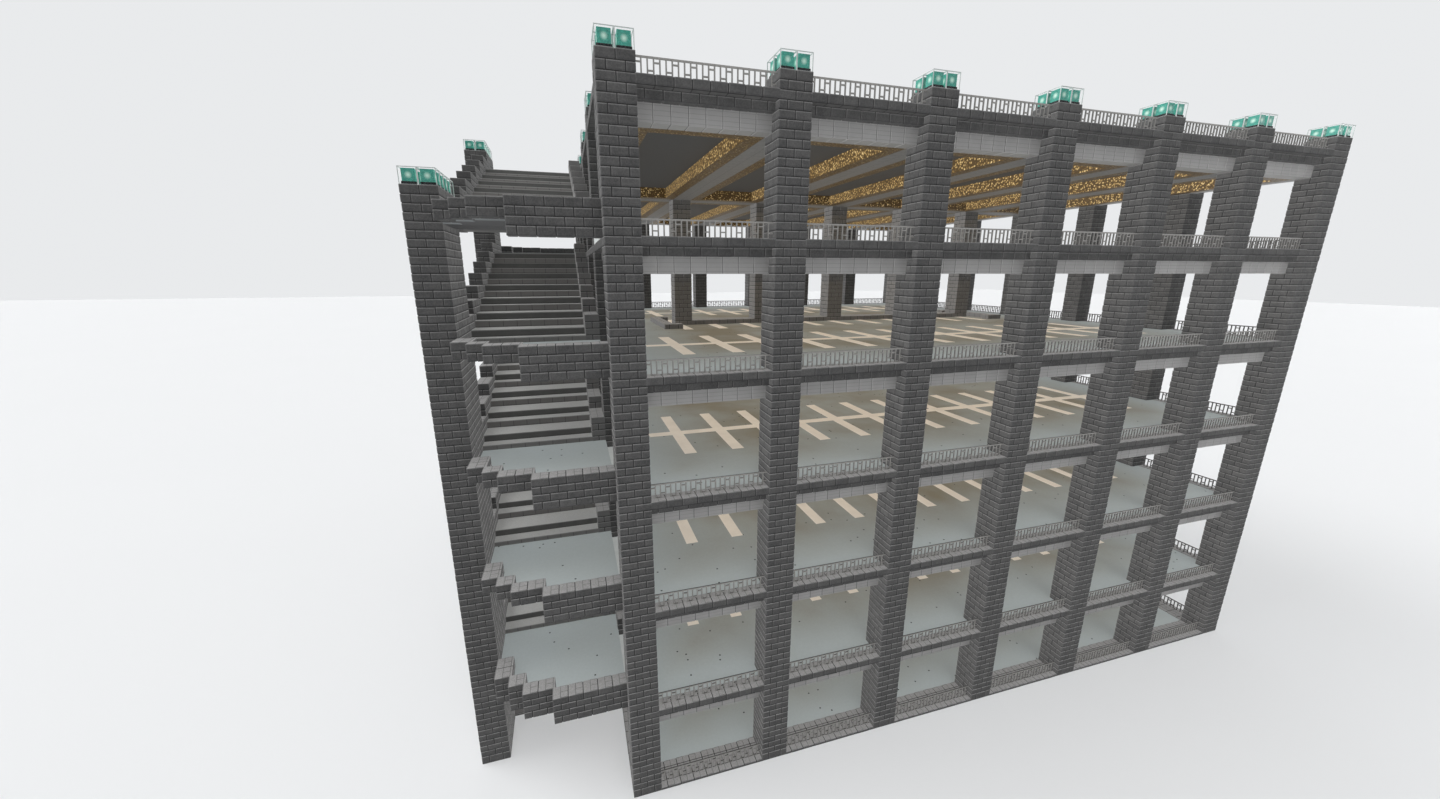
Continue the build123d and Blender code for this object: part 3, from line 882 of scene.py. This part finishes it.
def rampRecipe(place):
    x, _, z = place.split()
    nz = facing(place)[2]
    cloud = noise(place, step["cloudScale"], 5.0)
    pits = grain(place)
    top, rise = nz > facingLimit, 1 - (abs(nz) > facingLimit)
    height = (z - groundTop) % step["height"]
    lowStep = (z - groundTop) % (2 * step["height"]) < step["height"]
    seam = jointMask(x, block, wallLow.x, step["seamWidth"]) * rise * lowStep
    # painted highlight along the upper edge of every riser, painted shade along its foot
    riserHighlight = (height > step["height"] - step["riserHighlight"]) * rise
    riserFootShade = (height < step["riserFootShade"]) * rise
    level = (cloud + pits * 0.2 - 0.1).clamp()
    colour = mixColours(place, level, step["riser"], step["riserPale"])
    colour = mixColours(place, lowStep * rise * step["lowShare"], colour, step["lowRiser"])
    colour = mixColours(place, seam * step["seamShare"], colour, step["seam"])
    colour = mixColours(place, riserHighlight * step["edgeShare"], colour, step["tread"])
    colour = mixColours(place, riserFootShade * step["edgeShare"], colour, step["seam"])
    # painted light: the treads are made much paler than the risers, as lit tops
    colour = mixColours(place, top * step["litTreadShare"], colour, step["tread"])
    colour = mixColours(place, top * (pits * step["pitShare"]), colour, step["treadDark"])
    return colour, between(pits, step["rough"]), cloud - seam * 0.6, {}


def thresholdRecipe(place):
    cloud = noise(place, step["slabScale"], 4.0)
    pits = grain(place)
    level = (cloud * 0.8 + pits * 0.3 - 0.1).clamp()
    colour = mixColours(place, level, step["slab"], step["slabDark"])
    return colour, between(pits, step["slabRough"]), cloud, {}


# Golden strips that light the coffers: bright and dark spots in small square cells
gold = {
    "stops": [(0.0, paint(74, 56, 27)), (0.30, paint(108, 84, 44)), (0.62, paint(198, 168, 110)),
              (1.0, paint(252, 232, 176))],
    "dotScale": 11.0, "dotShare": 0.20, "cell": 0.0625, "cellShift": 0.011,
    "seamWidth": 0.020, "seamShare": 0.5, "undersideShadeShare": 0.7, "litScale": 4.0,
    "rough": (0.45, 0.65), "glow": 0.18, "relief": 0.004,
}


def goldRecipe(place):
    nx, _, nz = facing(place)
    dark = gold["stops"][0][1]
    small = grain(place, gold["cell"], gold["cellShift"])
    dots = place.node("ShaderNodeTexVoronoi", {"feature": "F1"},
                      {"Vector": place, "Scale": gold["dotScale"]})
    lit = noise(place, gold["litScale"], 2.0)
    bright = small > 1 - gold["dotShare"]
    side = abs(nx)  # painted light: the long sides are paler and calmer than the ends
    level = (0.98 - dots * 2.2) * (0.6 + lit * 0.8) * (1 - side * 0.35)
    level = (level + bright * (0.42 - side * 0.20) + side * 0.22).clamp()
    colour = place.node("ShaderNodeValToRGB", {"stops": gold["stops"]}, {"Fac": level})
    seam = panelSeams(place, gold["seamWidth"])
    colour = mixColours(place, seam * gold["seamShare"], colour, dark)
    # painted shade: the undersides of the strips are darkened
    under = mixColours(place, gold["undersideShadeShare"], colour, dark)
    colour = mixColours(place, nz < -facingLimit, colour, under)
    return colour, between(small, gold["rough"]), level, {"Emission Color": colour}


# The finish of every CAD node
floorMaterial = makeMaterial("deckConcrete", floorRecipe, deck["relief"])
beamMaterial = makeMaterial("beamConcrete", beamRecipe, beam["relief"])
jointMaterial = makeMaterial("blockJoints", jointRecipe, deck["relief"])
rampMaterial = makeMaterial("rampStone", rampRecipe, step["relief"])
thresholdMaterial = makeMaterial("thresholdStone", thresholdRecipe, step["slabRelief"])
goldMaterial = makeMaterial("goldenLightStrip", goldRecipe, gold["relief"],
                            {"Emission Strength": gold["glow"]})

finishes = {
    floorMaterial: deckNames + ["roof_deck", "ground_slab", "front_landing_floors",
                                "rear_landing_floors"],
    beamMaterial: ["long_beams", "cross_beams"],
    jointMaterial: ["perimeter_beams"],
    rampMaterial: ["ramps"],
    thresholdMaterial: ["threshold_slabs"],
    goldMaterial: [f"light_strips_{number}" for number in range(1, 7)],
    railingMaterial: [f"{side}_railings" for side in ("front", "right", "rear", "left")],
    mortarMaterial: stoneNodes,
    glassMaterial: ["lantern_glass"],
    lampMaterial: ["lantern_lamps"],
    baseMaterial: ["lantern_bases"],
}
finishOf = {node: material for material, nodes in finishes.items() for node in nodes}
for name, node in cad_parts.items():
    node.data.materials.clear()
    node.data.materials.append(finishOf[name])
print("finishes set")


# Studio: pale floor and backdrop, soft light from above on the left
studio = {
    "floorSide": 900.0, "floor": paint(229, 230, 231), "floorShade": paint(218, 219, 221),
    "floorScale": 0.05, "floorShare": 0.15, "rough": 0.9,
    "sky": (0.97, 0.985, 1.0, 1.0), "backdrop": 0.84, "ambient": 0.31, "lampWidth": 0.6,
    # the direction that each lamp shines from, its share of the light on a surface that faces it,
    # and if it casts shadows
    "lamps": {
        "key": ((-0.62, 0.22, 0.78), 0.28, True), "frontHigh": ((0, -0.6, 0.8), 0.15, True),
        "top": ((0, 0, 1), 0.36, False), "under": ((0, 0, -1), 0.08, False),
        "left": ((-1, 0, 0), 0.84, False), "right": ((1, 0, 0), 0.86, False),
        "rear": ((0, 1, 0), 0.10, False),
    },
}


def studioFloorRecipe(place):
    cloud = noise(place, studio["floorScale"], 2.0) * studio["floorShare"]
    colour = mixColours(place, cloud, studio["floor"], studio["floorShade"])
    return colour, studio["rough"], None, {}


def placeLamp(name, kind, energy):
    lamp = bpy.data.lights.new(name, kind)
    lamp.energy = energy
    holder = bpy.data.objects.new(name, lamp)
    bpy.context.collection.objects.link(holder)
    return lamp, holder


half = studio["floorSide"] / 2
ground = bpy.data.meshes.new("studioFloor")
ground.from_pydata([(-half, -half, 0), (half, -half, 0), (half, half, 0), (-half, half, 0)], [],
                   [(0, 1, 2, 3)])
ground.materials.append(makeMaterial("studioFloor", studioFloorRecipe))
floorObject = bpy.data.objects.new("studioFloor", ground)
bpy.context.collection.objects.link(floorObject)

# The golden strips light each storey: one soft lamp under every deck stands for them
glow = {"strength": (0.04, 0.18), "colour": (1.0, 0.73, 0.36), "inset": 3.5,
        "below": 2 * block + 0.05}
glowSide = wallHigh.x - wallLow.x - 2 * glow["inset"]
for number, top in enumerate(deckTops, start=1):
    share = between(number / len(deckTops), glow["strength"])
    lamp, holder = placeLamp(f"glow{number}", "AREA", share * math.pi * glowSide * glowSide)
    lamp.shape, lamp.size, lamp.color = "SQUARE", glowSide, glow["colour"]
    holder.location = ((wallLow.x + wallHigh.x) / 2, 0.0, top - block - glow["below"])
    holder.visible_camera = holder.visible_glossy = False

world = bpy.data.worlds.new("studio")
bpy.context.scene.world = world
world.use_nodes = True
world.node_tree.nodes.clear()
ray = Wire(world.node_tree).node("ShaderNodeLightPath", None, None, "Is Camera Ray")
seen = ray | (ray.other("Is Glossy Ray") | ray.other("Is Transmission Ray"))
strength = between(seen, (studio["ambient"], studio["backdrop"]))
sky = ray.node("ShaderNodeBackground", None, {"Color": studio["sky"], "Strength": strength})
sky.node("ShaderNodeOutputWorld", None, {"Surface": sky})

for name, (comesFrom, share, shadow) in studio["lamps"].items():
    lamp, holder = placeLamp(f"{name}Lamp", "SUN", share * math.pi)
    lamp.angle, lamp.use_shadow = studio["lampWidth"], shadow
    holder.rotation_mode = "QUATERNION"
    holder.rotation_quaternion = Vector(comesFrom).to_track_quat("Z", "Y")

# Camera where the photograph was taken from, in metres of the model
view = {"place": (-13.855, -30.080, 18.6255), "turn": 0.29109, "tip": 0.24687,
        "lens": 12.58, "sensor": 36.0, "nearest": 0.1, "farthest": 2000.0}
lens = bpy.data.cameras.new("photoView")
lens.sensor_width, lens.lens = view["sensor"], view["lens"]
lens.clip_start, lens.clip_end = view["nearest"], view["farthest"]
camera = bpy.data.objects.new("photoView", lens)
camera.location = view["place"]
camera.rotation_euler = (math.pi / 2 - view["tip"], 0.0, -view["turn"])
bpy.context.collection.objects.link(camera)
bpy.context.scene.camera = camera
bpy.context.scene.view_settings.view_transform = "Standard"
print("studio ready")
